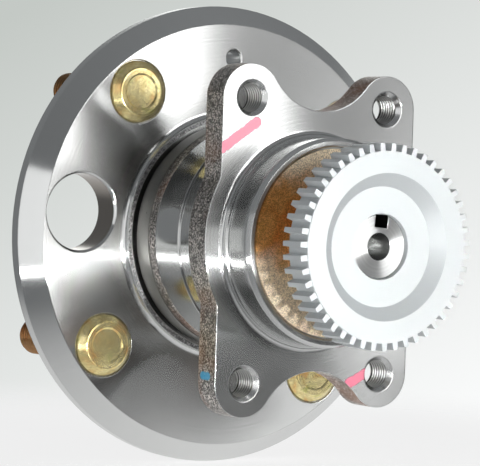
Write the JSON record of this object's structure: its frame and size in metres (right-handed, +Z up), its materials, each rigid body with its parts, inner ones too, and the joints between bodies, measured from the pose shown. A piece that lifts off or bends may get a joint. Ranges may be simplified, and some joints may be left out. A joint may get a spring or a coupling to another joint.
{
  "type": "wheel hub bearing",
  "caption": "Wheel hub bearing unit: a flanged spindle with pressed-in wheel studs turning in a bolt-on lobed outer ring, with a toothed speed ring on the inboard end.",
  "frame": {"origin": "spin axis at the wheel mounting face (outboard face of the flange)", "axes": "+Y along the spin axis towards the wheel, +Z up across the long way of the knuckle flange, +X to the right seen from the tone ring's side"},
  "size_m": [0.1476, 0.1328, 0.1476],
  "materials": {
    "turned_steel": "fine turned, bright",
    "forged_steel": "machined faces on a shot-blasted forging",
    "bearing_steel": "ground and polished",
    "yellow_zinc": "yellow chromated zinc plate",
    "sintered_steel": "matte zinc on sintered steel",
    "stamped_steel": "dull stamped sheet",
    "seal_rubber": "moulded",
    "cage_plastic": "moulded polyamide"
  },
  "bodies": {
    "outer_ring": {"outer_ring": "forged_steel", "seal_shield": "stamped_steel", "outboard_seal_case": "stamped_steel", "outboard_seal_lip": "seal_rubber", "inboard_seal_case": "stamped_steel", "inboard_seal_lip": "seal_rubber"},
    "hub": {"hub": "turned_steel", "inner_ring": "bearing_steel", "slinger_plate": "yellow_zinc", "hub_nut": "yellow_zinc", "tone_ring": "sintered_steel", "wheel_stud_1": "yellow_zinc", "wheel_stud_2": "yellow_zinc", "wheel_stud_3": "yellow_zinc", "wheel_stud_4": "yellow_zinc"},
    "outboard_row": {"outboard_cage": "cage_plastic", "outboard_ball_1": "bearing_steel", "outboard_ball_2": "bearing_steel", "outboard_ball_3": "bearing_steel", "outboard_ball_4": "bearing_steel", "outboard_ball_5": "bearing_steel", "outboard_ball_6": "bearing_steel", "outboard_ball_7": "bearing_steel", "outboard_ball_8": "bearing_steel", "outboard_ball_9": "bearing_steel", "outboard_ball_10": "bearing_steel", "outboard_ball_11": "bearing_steel", "outboard_ball_12": "bearing_steel"},
    "inboard_row": {"inboard_cage": "cage_plastic", "inboard_ball_1": "bearing_steel", "inboard_ball_2": "bearing_steel", "inboard_ball_3": "bearing_steel", "inboard_ball_4": "bearing_steel", "inboard_ball_5": "bearing_steel", "inboard_ball_6": "bearing_steel", "inboard_ball_7": "bearing_steel", "inboard_ball_8": "bearing_steel", "inboard_ball_9": "bearing_steel", "inboard_ball_10": "bearing_steel", "inboard_ball_11": "bearing_steel", "inboard_ball_12": "bearing_steel"}
  },
  "joints": [
    {"name": "hub_spin", "type": "hinge", "parent": "outer_ring", "child": "hub", "pos_m": [0, 0, 0], "axis": [0, 1, 0], "continuous": true},
    {"name": "outboard_row_spin", "type": "hinge", "parent": "outer_ring", "child": "outboard_row", "pos_m": [0, 0, 0], "axis": [0, 1, 0], "continuous": true},
    {"name": "inboard_row_spin", "type": "hinge", "parent": "outer_ring", "child": "inboard_row", "pos_m": [0, 0, 0], "axis": [0, 1, 0], "continuous": true}
  ],
  "couplings": [
    {"joint": "outboard_row_spin", "follows": "hub_spin", "ratio": 0.409},
    {"joint": "inboard_row_spin", "follows": "hub_spin", "ratio": 0.409}
  ]
}
